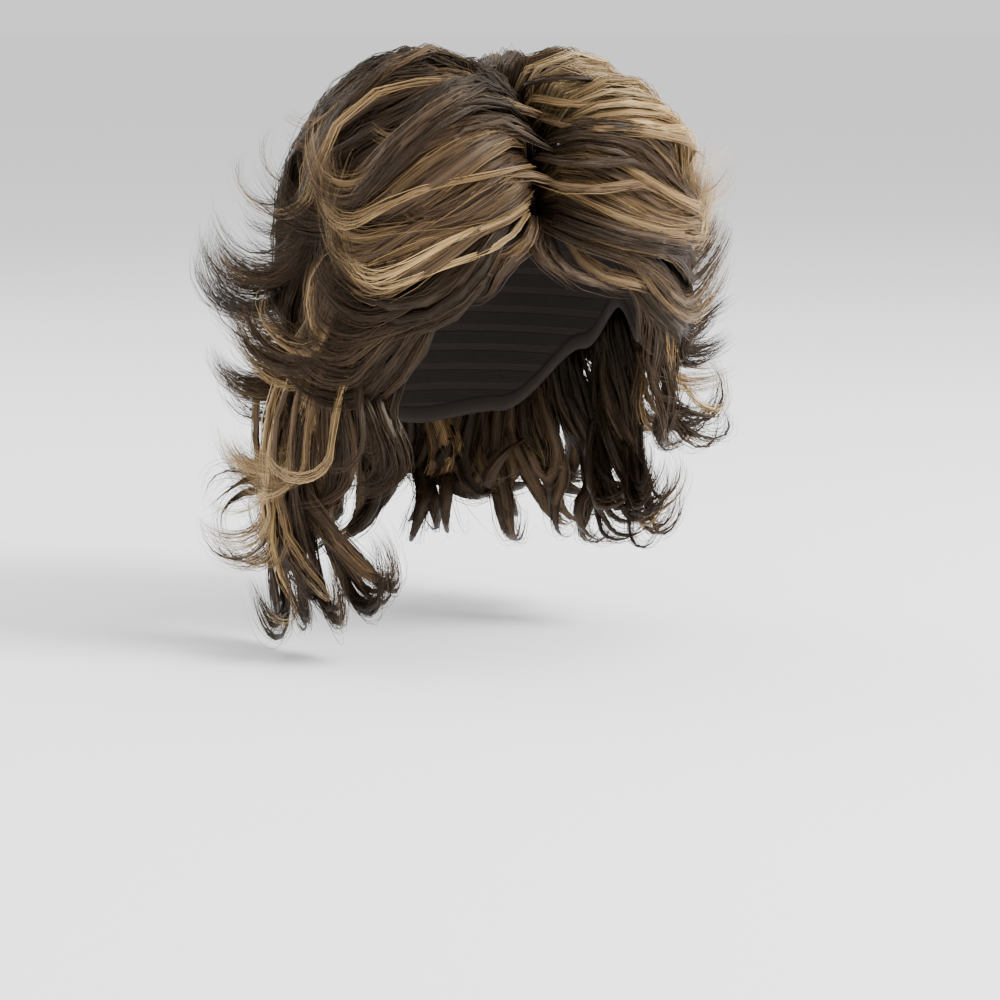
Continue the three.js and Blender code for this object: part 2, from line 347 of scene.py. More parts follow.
@dataclass(frozen=True)
class NetFinish:
    """Matt stretch net with sewn rows, seen inside the cap."""

    strip: Rgb = linear(44, 34, 29)
    net: Rgb = linear(27, 21, 18)
    row_pitch: float = 11.0
    strip_edge: Span = (0.35, 0.6)
    strip_height: float = 1.4
    cell: float = 1.6
    cell_edge: Span = (-0.2, 0.5)
    cell_height: float = 0.6
    relief: float = 0.6
    depth: float = 0.6 * MM
    roughness: float = 0.85

    def material(self) -> bpy.types.Material:
        """Make the net's material, on a map in millimetres along and down the cap.

        Returns:
            The material.
        """
        graph = Graph("cap_net")
        along, down = graph.read_map(CAP_MAP)
        row = (down * (2 * math.pi / self.row_pitch)).wave()
        strip = row.step(*self.strip_edge)
        first = ((along + down) * (2 * math.pi / self.cell)).wave()
        second = ((along - down) * (2 * math.pi / self.cell)).wave()
        cells = (first * second).step(*self.cell_edge)
        colour = graph.mix(strip, graph.mix(cells, self.net, self.strip), self.strip)
        height = strip * self.strip_height + cells * (1 - strip) * self.cell_height
        bump = graph.bump(height, self.relief, self.depth)
        return graph.shade(Base_Color=colour, Roughness=self.roughness, Normal=bump)


@dataclass(frozen=True)
class FloorFinish:
    """Plain pale studio floor."""

    colour: Rgb = (0.94, 0.94, 0.94)
    roughness: float = 0.7

    def material(self) -> bpy.types.Material:
        """Make the floor's material."""
        return Graph("studio_floor").shade(Base_Color=(*self.colour, 1.0), Roughness=self.roughness)


@dataclass(frozen=True)
class HeadForm:
    """The inside of the cap in metres: a round top, then straight down and in at the nape."""

    half_width: float = 0.078
    half_length: float = 0.099
    crown_height: float = 0.095
    nape_drop: float = 0.071
    nape_inset: float = 0.15

    def on(self, turn: np.ndarray, way: np.ndarray) -> np.ndarray:
        """Find points on the head.

        Args:
            turn: degrees from the face, plus to the wearer's right.
            way: metres down over the head from its top, minus for the far side of it.

        Returns:
            The points.
        """
        angle = np.radians(turn)
        girth = 1 / np.hypot(np.sin(angle) / self.half_width, np.cos(angle) / self.half_length)
        widest = self.crown_height * math.pi / 2
        bow = np.clip(way, -widest, widest) / self.crown_height
        drop = np.maximum(way - widest, 0)
        lowered = np.minimum(drop / self.nape_drop, 1) ** 2
        inset = 1 - self.nape_inset * np.maximum(-np.cos(angle), 0) * lowered
        reach = girth * np.sin(bow) * inset
        rise = self.crown_height * (np.cos(bow) - 1) - drop
        return np.stack([-reach * np.sin(angle), -reach * np.cos(angle), rise], -1)

    def outward(self, points: np.ndarray) -> np.ndarray:
        """Find the directions straight out from the head.

        Args:
            points: points on the head or beside it.

        Returns:
            The directions.
        """
        rise = np.maximum(points[..., 2] + self.crown_height, 0) / self.crown_height ** 2
        slopes = [points[..., 0] / self.half_width ** 2, points[..., 1] / self.half_length ** 2, rise]
        return unit(np.stack(slopes, -1))

    def beside(self, turn: np.ndarray, way: np.ndarray, out: np.ndarray) -> np.ndarray:
        """Find points at a distance out from the head."""
        points = self.on(turn, way)
        return points + self.outward(points) * np.asarray(out)[..., None]


HEAD = HeadForm()


@dataclass(frozen=True)
class LockSizes:
    """What every lock shares: lengths in millimetres, and shares of a lock."""

    root_out: float = 4.4
    least_out: float = 3.4
    last_step: float = 1 / 6
    root_closer: float = 1.3
    curl_ease: float = 1.25
    curl_spots: int = 8


LOCK = LockSizes()


@dataclass
class Paths:
    """Centre lines with their directions: arrays of path, then point, then X Y Z."""

    points: np.ndarray
    across: np.ndarray
    face: np.ndarray
    along: np.ndarray

    @classmethod
    def of_rows(cls, rows: np.ndarray, reach: np.ndarray, lift: float, body_steps: int,
                curl_steps: int) -> "Paths":
        """Follow locks from root to tip: a bow over the head, then round the curl.

        Args:
            rows: one row of Column values for each path.
            reach: share of each path that is followed.
            lift: below 1 a lock leaves the cap steeply.
            body_steps: steps from root to end.
            curl_steps: steps round the curl.

        Returns:
            The paths.
        """
        steps = body_steps + curl_steps
        split = body_steps / steps
        walk = reach[:, None] * np.arange(steps + 1) / steps
        share = np.minimum(walk / split, 1) ** LOCK.root_closer
        body = cls._bow(rows, share, lift)
        end = cls._bow(rows, np.ones((len(rows), 1)), lift)[:, 0]
        before = cls._bow(rows, np.full((len(rows), 1), 1 - LOCK.last_step), lift)[:, 0]
        ahead = unit(end - before)
        out = square_to(HEAD.outward(end), ahead)
        roll = np.radians(rows[:, Column.CURL_ROLL])[:, None]
        side = np.cross(ahead, out)
        bend = np.cos(roll) * out + np.sin(roll) * side
        plain = np.cos(roll) * side - np.sin(roll) * out
        turn = np.radians(rows[:, Column.CURL_TURN])[:, None]
        round_curl = np.clip((walk - split) / (1 - split), 0, 1)
        spots, weights = np.polynomial.legendre.leggauss(LOCK.curl_spots)
        angles = turn[..., None] * cls._curled(round_curl[..., None] * (spots + 1) / 2)
        curled = rows[:, Column.CURL_RADIUS, None] * MM * turn * round_curl
        onward = (curled * (np.cos(angles) * weights / 2).sum(-1))[..., None]
        aside = (curled * (np.sin(angles) * weights / 2).sum(-1))[..., None]
        curl = end[:, None] + onward * ahead[:, None] + aside * bend[:, None]
        angle = turn * cls._curled(round_curl)
        sine, cosine = np.sin(angle)[..., None], np.cos(angle)[..., None]
        in_body = (walk <= split)[..., None]
        points = np.where(in_body, body, curl)
        tangent = unit(np.gradient(points, axis=1))
        turned = cosine * bend[:, None] - sine * ahead[:, None]
        curl_face = np.cos(roll)[:, None] * turned - np.sin(roll)[:, None] * plain[:, None]
        face = square_to(np.where(in_body, HEAD.outward(points), curl_face), tangent)
        spans = np.linalg.norm(np.diff(points, axis=1), axis=-1).cumsum(1)
        length = np.concatenate([np.zeros((len(rows), 1)), spans], 1)
        return cls(points, np.cross(face, tangent), face, reach[:, None] * length / length[:, -1:])

    @staticmethod
    def _curled(share: np.ndarray) -> np.ndarray:
        """Give the share of a curl's turn at shares of its length: tight at first, then easing off."""
        return 1 - (1 - share) ** LOCK.curl_ease

    @staticmethod
    def _bow(rows: np.ndarray, share: np.ndarray, lift: float) -> np.ndarray:
        """Find points of the bows over the head.

        Args:
            rows: one row of Column values for each bow.
            share: shares of the way from root to end.
            lift: below 1 a bow leaves the cap steeply.

        Returns:
            The points.
        """
        root_out = np.full(len(rows), LOCK.root_out)
        spans = {
            "turn": (rows[:, Column.ROOT_TURN], rows[:, Column.MID_TURN], rows[:, Column.END_TURN]),
            "way": (rows[:, Column.ROOT_WAY], rows[:, Column.MID_WAY], rows[:, Column.END_WAY]),
            "out": (root_out, rows[:, Column.MID_OUT], rows[:, Column.END_OUT]),
        }

        def through(name: str, at: np.ndarray) -> np.ndarray:
            """Follow the even bow through a column's root, middle and end."""
            first, middle, last = (column[:, None] for column in spans[name])
            return (1 - at) * (1 - 2 * at) * first + 4 * at * (1 - at) * middle + at * (2 * at - 1) * last

        out = np.maximum(through("out", share ** lift), LOCK.least_out)
        return HEAD.beside(through("turn", share), through("way", share) * MM, out * MM)

    def shifted(self, across: np.ndarray, face: np.ndarray) -> "Paths":
        """Move each point sideways and outward by distances in metres."""
        moved = self.points + self.across * across[..., None] + self.face * face[..., None]
        return Paths(moved, self.across, self.face, self.along)


@dataclass
class TubeSet:
    """Closed tapering tubes that follow paths, gathered for one joined mesh."""

    sliver: float = 0.001
    root_cap: float = 0.002
    points: list[np.ndarray] = field(default_factory=list)
    quads: list[np.ndarray] = field(default_factory=list)
    threes: list[np.ndarray] = field(default_factory=list)
    quad_maps: list[np.ndarray] = field(default_factory=list)
    three_maps: list[np.ndarray] = field(default_factory=list)
    count: int = 0

    def add(self, path: Paths, wide: np.ndarray, thick: np.ndarray, tones: np.ndarray,
            span: float | None = None) -> None:
        """Add one tube round each path, with the last point of a path as its tip.

        Args:
            path: the paths.
            wide: half width at each point of each path, in metres.
            thick: half thickness likewise.
            tones: place of each side of each tube on the colour map.
            span: how far a side reaches across the colour map, or none for a sliver.
        """
        total, steps = path.points.shape[:2]
        sides = tones.shape[1]
        rings = steps - 1
        angle = 2 * np.pi * np.arange(sides) / sides
        body = slice(0, rings)
        across = path.across[:, body, None] * (np.cos(angle)[:, None] * wide[:, body, None, None])
        face = path.face[:, body, None] * (np.sin(angle)[:, None] * thick[:, body, None, None])
        skin = path.points[:, body, None] + across + face
        each = rings * sides + 2
        ends = np.stack([path.points[:, 0], path.points[:, -1]], 1)
        self.points.append(np.concatenate([skin.reshape(total, -1, 3), ends], 1).reshape(-1, 3))
        first = self.count + each * np.arange(total)[:, None, None]
        ring = sides * np.arange(rings - 1)[:, None]
        here, after = np.arange(sides), (np.arange(sides) + 1) % sides
        quad = np.stack([ring + here, ring + after, ring + sides + after, ring + sides + here], -1)
        self.quads.append((first[..., None] + quad).reshape(-1, 4))
        last = sides * (rings - 1)
        tip = np.stack([last + here, last + after, np.full(sides, each - 1)], -1)
        root = np.stack([after, here, np.full(sides, each - 2)], -1)
        self.threes.append((first + np.concatenate([root, tip])).reshape(-1, 3))
        self._map(path.along, tones, self.sliver if span is None else span)
        self.count += each * total

    def _map(self, along: np.ndarray, tones: np.ndarray, span: float) -> None:
        """Give each corner its place on the colour map: tone across, root to tip along.

        Args:
            along: share of its length at each point of each path.
            tones: place of each side of each tube across the map.
            span: how far a side reaches across the map.
        """
        total, sides = tones.shape
        rings = along.shape[1] - 1
        low = np.broadcast_to(tones[:, None, :], (total, rings - 1, sides))
        start = np.broadcast_to(along[:, :rings - 1, None], low.shape)
        stop = np.broadcast_to(along[:, 1:rings, None], low.shape)
        corners = [(low, start), (low + span, start), (low + span, stop), (low, stop)]
        self.quad_maps.append(np.stack([np.stack(pair, -1) for pair in corners], -2).reshape(-1, 2))
        ends = (0, rings - 1, -1)
        at_root, at_tip, peak = (np.broadcast_to(along[:, [end]], tones.shape) for end in ends)
        above_root = at_root + self.root_cap
        bottom = [(tones + span, above_root), (tones, above_root), (tones, at_root)]
        top = [(tones, at_tip), (tones + span, at_tip), (tones, peak)]
        maps = [np.stack([np.stack(pair, -1) for pair in row], -2) for row in (bottom, top)]
        self.three_maps.append(np.concatenate(maps, 1).reshape(-1, 2))

    def mesh(self, name: str) -> bpy.types.Mesh:
        """Join all the tubes into one smooth-shaded mesh.

        Args:
            name: the mesh's name.

        Returns:
            The mesh.
        """
        quads, threes = np.concatenate(self.quads), np.concatenate(self.threes)
        places = np.concatenate([*self.quad_maps, *self.three_maps])
        made = bpy.data.meshes.new(name)
        points = np.concatenate(self.points)
        made.vertices.add(len(points))
        made.vertices.foreach_set("co", points.astype(np.float32).ravel())
        corners = np.concatenate([quads.ravel(), threes.ravel()])
        made.loops.add(len(corners))
        made.loops.foreach_set("vertex_index", corners.astype(np.int32))
        made.polygons.add(len(quads) + len(threes))
        starts = np.concatenate([4 * np.arange(len(quads)), 4 * len(quads) + 3 * np.arange(len(threes))])
        made.polygons.foreach_set("loop_start", starts.astype(np.int32))
        layer = made.uv_layers.new(name=HAIR_MAP)
        layer.uv.foreach_set("vector", places.astype(np.float32).ravel())
        made.update(calc_edges=True)
        made.shade_smooth()
        return made

    def triangles(self) -> int:
        """Count the triangles."""
        return sum(2 * len(rows) for rows in self.quads) + sum(len(rows) for rows in self.threes)


@dataclass(frozen=True)
class Row:
    """One lock: where it is sewn, halfway, where its curl begins, the curl, and its fullest size."""

    root: Span
    mid: Triple
    end: Triple
    curl: Triple
    size: Span

    def flat(self) -> np.ndarray:
        """Lay the row out in the order of Column."""
        return np.array([*self.root, *self.mid, *self.end, *self.curl, *self.size], float)


@dataclass(frozen=True)
class Stray:
    """How far one lock strays from the even spacing of its tier."""

    turn: float = 2.5
    way: float = 6
    out: float = 3
    curl_turn: float = 20
    curl_roll: float = 16
    draws: int = 7

    def of(self, lock: int) -> np.ndarray:
        """Find a lock's own stray.

        Args:
            lock: the lock's number.

        Returns:
            The stray as a row.
        """
        most = (self.turn, self.way, self.out, self.curl_turn, self.curl_roll)
        steady = [2 * (((lock * self.draws + place) * GOLDEN) % 1) - 1 for place in range(1, 1 + len(most))]
        row = np.zeros(len(Column))
        row[[*END, *CURL_BEND]] = np.multiply(most, steady)
        return row


@dataclass(frozen=True)
class Tier:
    """Locks spread evenly from a first row to a last one.

    Lighter is how much lighter they are than their weft, partly the wig's own highlights and lowlights and
    partly painted light and shade for the sides the key light falls on or misses;
    gather how far wisps draw in to their lock, and tousle how far they stray from it.
    """

    count: int
    first: Row
    last: Row
    lighter: float = 0.0
    gather: float = 0.45
    tousle: float = 1.0

    def at(self, place: np.ndarray) -> np.ndarray:
        """Give the even rows at places counted in locks from the first."""
        share = (np.asarray(place, float) / max(self.count - 1, 1))[:, None]
        return self.first.flat() + share * (self.last.flat() - self.first.flat())


@dataclass(frozen=True)
class ToneMix:
    """Shares of the tones in a weft: the wig's dyed tones, leaning dark in some wefts as painted shade and
    light in one as a painted highlight.
    """

    shade: float = 0.1
    dark: float = 0.25
    cool: float = 0.15
    brown: float = 0.22
    warm: float = 0.13
    gold: float = 0.1
    blond: float = 0.05

    def pick(self, chance: np.random.Generator, count: int) -> np.ndarray:
        """Draw tones.

        Args:
            chance: the seeded source of numbers.
            count: how many tones.

        Returns:
            Places along the colour map.
        """
        shares = np.array([self.shade, self.dark, self.cool, self.brown, self.warm, self.gold, self.blond])
        tones = np.array([tone.value for tone in Tone])
        return chance.choice(tones, count, p=shares / shares.sum())


@dataclass(frozen=True)
class Wisp:
    """A loose curl beside the tiers: its row and tone."""

    row: Row
    tone: Tone


@dataclass(frozen=True)
class Parting:
    """How locks part into wisps: spreads in degrees and millimetres, and shares of a lock."""

    middle_spread: Triple = (2.5, 6, 5.5)
    end_turn: float = 3
    end_out: float = 5.5
    curl_spread: Span = (18, 11)
    middle_gather: float = 0.45
    curl_gather: float = 0.95
    radius: Span = (0.85, 1.12)
    width: float = 2.2
    thick: float = 0.36
    shared_tone: float = 0.5
    reach: Span = (0.93, 1.0)


@dataclass(frozen=True)
class Waving:
    """The soft wave along a wisp: turns, and the length in millimetres from which it is whole."""

    onward: float = 1.9
    outward_start: float = 1.6
    stray: float = 0.3
    turns: Span = (1.25, 1.45)
    rise: float = 0.8
    fullness: float = 0.7
    outward: float = 0.7
    whole: float = 110.0


@dataclass(frozen=True)
class Taper:
    """How a wisp's size changes along it, in shares of its length and of its fullest size."""

    root: float = 0.62
    root_reach: float = 0.35
    root_thick: float = 0.3
    root_thick_reach: float = 0.25
    tip_start: float = 0.5
    tip_loss: float = 0.84
    tip_curve: float = 1.2

    def full(self, along: np.ndarray) -> np.ndarray:
        """Give a wisp's share of its fullest size."""
        opened = self.root + (1 - self.root) * ease(along, 0.0, self.root_reach)
        return opened * (1 - self.tip_loss * ease(along, self.tip_start, 1.0) ** self.tip_curve)

    def rooted(self, along: np.ndarray) -> np.ndarray:
        """Give how much thinner a wisp is at its root."""
        return self.root_thick + (1 - self.root_thick) * ease(along, 0.0, self.root_thick_reach)


@dataclass(frozen=True)
class Core:
    """The flat body of a wisp: shares of the wisp's size and tone, its tone darker than the wisp's as
    painted shade inside the wisp, between its hairs.
    """

    sides: int = 4
    reach: float = 0.95
    width: float = 0.9
    width_taper: float = 2.8
    thick: float = 0.6
    thick_taper: float = 2
    tone: float = 0.7
    light_tone: float = 0.15
    tone_stray: Span = (-0.1, 0.06)
    tone_limits: Span = (0.01, 0.86)
    tone_span: float = 0.1


@dataclass(frozen=True)
class FineHair:
    """The fine hairs of a wisp: degrees, millimetres, and shares of the wisp."""

    sides: int = 3
    middle_out: float = 1.0
    end_spread: Triple = (0.7, 2.2, 1.3)
    curl_spread: Span = (8, 4)
    radius: Span = (0.92, 1.08)
    fly_share: float = 0.04
    fly_end: Span = (1, 6)
    fly_middle: Span = (1, 3)
    fly_thick: float = 0.5
    shorter: float = 0.2
    shorter_curve: float = 1.5
    depth: Span = (0.45, 1)
    inner_share: float = 0.42
    astray_share: float = 0.15
    astray: float = 1.6
    half_thick: Span = (0.17, 0.3)
    tip_loss: float = 0.75
    tip_start: float = 0.6
    own_tone: Span = (0.0, 0.25)
    light_own_tone: float = 0.25
    loose_own_tone: float = 0.6
    tone_stray: float = 0.04
    tone_limits: Span = (0.02, 0.97)


@dataclass(frozen=True)
class Band:
    """The dark sewn band through a weft's roots, in millimetres."""

    height: float = 7.0
    wall: float = 2.2
    out: float = 3.6
    sides: int = 8
    steps: int = 3
    along: float = 0.1


@dataclass
class WispSet:
    """A weft's wisps: rows of Column values, places on the colour map, and shares of their length."""

    rows: np.ndarray
    tones: np.ndarray
    reach: np.ndarray


@dataclass
class Weft:
    """One sewn row of hair: its band, and locks parted into wisps of fine hairs."""

    name: str
    tiers: tuple[Tier, ...]
    tones: ToneMix = ToneMix()
    loose: tuple[Wisp, ...] = ()
    lift: float = 0.65
    wisps: int = 7
    hairs: int = 16
    wave: float = 3.5
    uneven: float = 7
    order: int = 0
    body_steps: int = 6
    curl_steps: int = 8
    seed: int = 1000
    locks_apart: int = 100
    parting: Parting = Parting()
    waving: Waving = Waving()
    taper: Taper = Taper()
    core: Core = Core()
    hair: FineHair = FineHair()
    band: Band = Band()

    def build(self) -> bpy.types.Object:
        """Make the weft's joined mesh.

        Returns:
            The object.
        """
        chance = np.random.default_rng(self.seed + self.order)
        tubes = TubeSet()
        wisps = self._all_wisps(chance)
        self._add_cores(tubes, chance, wisps)
        self._add_hairs(tubes, chance, wisps)
        self._add_band(tubes)
        made = bpy.data.objects.new(f"{self.name}_hair", tubes.mesh(self.name))
        bpy.context.collection.objects.link(made)
        LOG.info("%s: %d triangles", made.name, tubes.triangles())
        return made

    def dress(self, made: bpy.types.Object, finish: bpy.types.Material) -> None:
        """Give the weft its finish and its place in the frame.

        Args:
            made: the weft's object.
            finish: the hair's material.
        """
        made.data.materials.append(finish)
        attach(made, BODY)
        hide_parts(self.name)

    def _all_wisps(self, chance: np.random.Generator) -> WispSet:
        """Gather the loose wisps and those of every tier.

        Args:
            chance: the seeded source of numbers.

        Returns:
            The wisps.
        """
        rows = [np.array([wisp.row.flat() for wisp in self.loose]).reshape(-1, len(Column))]
        lock = 0
        for tier in self.tiers:
            rows.append(self._parted(tier, lock, chance))
            lock += tier.count
        rows = np.concatenate(rows)
        counts = [tier.count * self.wisps for tier in self.tiers]
        lighter = np.repeat([tier.lighter for tier in self.tiers], counts)
        shared = np.repeat(self.tones.pick(chance, lock), self.wisps)
        drawn = self.tones.pick(chance, len(lighter))
        share = self.parting.shared_tone
        mixed = (1 - share) * drawn + share * shared + lighter
        tones = np.concatenate([[wisp.tone.value for wisp in self.loose], mixed])
        tones = np.clip(tones, Tone.SHADE.value, Tone.BLOND.value)
        return WispSet(rows, tones, chance.uniform(*self.parting.reach, len(rows)))

    def _parted(self, tier: Tier, lock: int, chance: np.random.Generator) -> np.ndarray:
        """Part a tier's locks into wisps that draw together towards the tips.

        Args:
            tier: the tier.
            lock: how many locks of the weft come before it.
            chance: the seeded source of numbers.

        Returns:
            The wisps' rows.
        """
        spread, gather = np.zeros((2, len(Column)))
        spread[MIDDLE] = self.parting.middle_spread
        spread[END] = (self.parting.end_turn, self.uneven, self.parting.end_out)
        spread[CURL_BEND] = self.parting.curl_spread
        gather[MIDDLE] = self.parting.middle_gather * tier.gather
        gather[END] = tier.gather
        gather[[Column.CURL_RADIUS, *CURL_BEND]] = self.parting.curl_gather
        total = tier.count * self.wisps
        place = (np.arange(total) + 0.5) / self.wisps - 0.5
        nearest = np.clip(np.round(place), 0, tier.count - 1)
        before = self.locks_apart * self.order + lock
        strays = np.array([Stray().of(before + int(near)) for near in nearest])
        even = tier.at(place)
        rows = even + gather * (tier.at(nearest) + strays - even)
        rows += tier.tousle * spread * chance.uniform(-1, 1, rows.shape)
        rows[:, Column.CURL_RADIUS] *= chance.uniform(*self.parting.radius, total)
        rows[:, Column.WIDTH] *= self.parting.width / self.wisps
        rows[:, Column.THICK] *= self.parting.thick
        return rows

    def _waves(self, path: Paths, each: int) -> tuple[np.ndarray, np.ndarray]:
        """Give waves along paths, alike within a wisp and smaller in a short one.

        Args:
            path: the paths, wisp by wisp.
            each: paths in a wisp.

        Returns:
            Distances sideways and outward at each point, in metres.
        """
        waving, along = self.waving, path.along
        chance = np.random.default_rng(self.order)
        total = len(along) // each
        length = np.linalg.norm(np.diff(path.points, axis=1), axis=2).sum(1)
        even = np.arange(total)[:, None] / self.wisps * waving.onward + np.array([0, waving.outward_start])
        start = np.repeat(even + chance.normal(0, waving.stray, (total, 2)), each, 0)
        turns = np.repeat(chance.uniform(*waving.turns, (total, 2)), each, 0)
        size = self.wave * MM * np.sin(np.pi * np.clip(along, 0, 1) ** waving.rise) ** waving.fullness
        size = size * ease(length, 0.0, waving.whole * MM)[:, None]
        angles = [start[:, None, axis] + 2 * np.pi * turns[:, None, axis] * along for axis in (0, 1)]
        return size * np.sin(angles[0]), size * np.sin(angles[1]) * waving.outward

    def _add_cores(self, tubes: TubeSet, chance: np.random.Generator, wisps: WispSet) -> None:
        """Add the flat body of each wisp, darkened as painted shade between its hairs.

        Args:
            tubes: where the tubes go.
            chance: the seeded source of numbers.
            wisps: the wisps.
        """
        core, rows = self.core, wisps.rows
        path = Paths.of_rows(rows, wisps.reach * core.reach, self.lift, self.body_steps, self.curl_steps)
        path = path.shifted(*self._waves(path, 1))
        full = self.taper.full(path.along)
        wide = full ** core.width_taper * rows[:, Column.WIDTH, None] * MM / 2 * core.width
        flat = full ** core.thick_taper * self.taper.rooted(path.along)
        thick = flat * rows[:, Column.THICK, None] * MM / 2 * core.thick
        tones = wisps.tones[:, None]
        # The core's tone is darkened as painted shade inside the wisp; the stray from side to side is the
        # hair's own streaking.
        shaded_streaks = (core.tone + core.light_tone * tones) * tones
        shaded_streaks = shaded_streaks + chance.uniform(*core.tone_stray, (len(rows), core.sides))
        tubes.add(path, wide, thick, np.clip(shaded_streaks, *core.tone_limits), core.tone_span)

    def _add_hairs(self, tubes: TubeSet, chance: np.random.Generator, wisps: WispSet) -> None:
        """Add the fine hairs of each wisp.

        Args:
            tubes: where the tubes go.
            chance: the seeded source of numbers.
            wisps: the wisps.
        """
        hair = self.hair
        rows = np.repeat(wisps.rows, self.hairs, 0)
        total = len(rows)
        spread = np.zeros(len(Column))
        spread[[Column.MID_OUT, *END]] = (hair.middle_out, *hair.end_spread)
        spread[CURL_BEND] = hair.curl_spread
        rows += spread * chance.uniform(-1, 1, rows.shape)
        rows[:, Column.CURL_RADIUS] *= chance.uniform(*hair.radius, total)
        fly = chance.random(total) < hair.fly_share
        rows[fly, Column.END_OUT] += chance.uniform(*hair.fly_end, fly.sum())
        rows[fly, Column.MID_OUT] += chance.uniform(*hair.fly_middle, fly.sum())
        ends = np.repeat(wisps.reach, self.hairs)
        ends = ends * (1 - hair.shorter * chance.random(total) ** hair.shorter_curve)
        path = Paths.of_rows(rows, ends, self.lift, self.body_steps, self.curl_steps)
        across = chance.uniform(-1, 1, total)
        above = np.sqrt(1 - across ** 2) * chance.uniform(*hair.depth, total)
        above = above * np.where(chance.random(total) < hair.inner_share, -1, 1)
        astray = np.where(chance.random(total) < hair.astray_share, hair.astray, 1.0) * MM / 2
        full = self.taper.full(path.along)
        waves = self._waves(path, self.hairs)
        side = full * (across * astray * rows[:, Column.WIDTH])[:, None]
        lift = full * self.taper.rooted(path.along) * (above * astray * rows[:, Column.THICK])[:, None]
        path = path.shifted(side + waves[0], lift + waves[1])
        half = chance.uniform(*hair.half_thick, total)[:, None] * MM
        half = half * np.where(fly, hair.fly_thick, 1.0)[:, None]
        half = half * (1 - hair.tip_loss * ease(path.along / ends[:, None], hair.tip_start, 1.0))
        shade = self._hair_tones(chance, np.repeat(wisps.tones, self.hairs))
        tubes.add(path, half, half, np.repeat(shade[:, None], hair.sides, 1))

    def _hair_tones(self, chance: np.random.Generator, tones: np.ndarray) -> np.ndarray:
        """Mix each hair's own tone into its wisp's.

        Args:
            chance: the seeded source of numbers.
            tones: the wisp's tone for each hair.

        Returns:
            The hairs' places on the colour map.
        """
        hair, total = self.hair, len(tones)
        own = chance.uniform(*hair.own_tone, total)
        own = own + hair.light_own_tone * ease(tones, Tone.BROWN.value, Tone.BLOND.value)
        own[:len(self.loose) * self.hairs] *= hair.loose_own_tone
        shade = (1 - own) * tones + own * self.tones.pick(chance, total)
        return np.clip(shade + chance.normal(0, hair.tone_stray, total), *hair.tone_limits)

    def _add_band(self, tubes: TubeSet) -> None:
        """Add the dark sewn band through the roots.

        Args:
            tubes: where the tube goes.
        """
        band = self.band
        roots = np.concatenate([tier.at(np.arange(tier.count)) for tier in self.tiers])
        spots = np.linspace(0, len(roots) - 1, band.steps * len(roots))
        turn = np.interp(spots, np.arange(len(roots)), roots[:, Column.ROOT_TURN])
        way = np.interp(spots, np.arange(len(roots)), roots[:, Column.ROOT_WAY])
        points = HEAD.beside(turn, way * MM, np.full(len(turn), band.out * MM))[None]
        tangent = unit(np.gradient(points, axis=1))
        face = square_to(HEAD.outward(points), tangent)
        path = Paths(points, np.cross(face, tangent), face, np.full(points.shape[:2], band.along))
        wide = np.full(points.shape[:2], band.height * MM / 2)
        thick = np.full(points.shape[:2], band.wall * MM / 2)
        tubes.add(path, wide, thick, np.full((1, band.sides), Tone.SHADE.value))


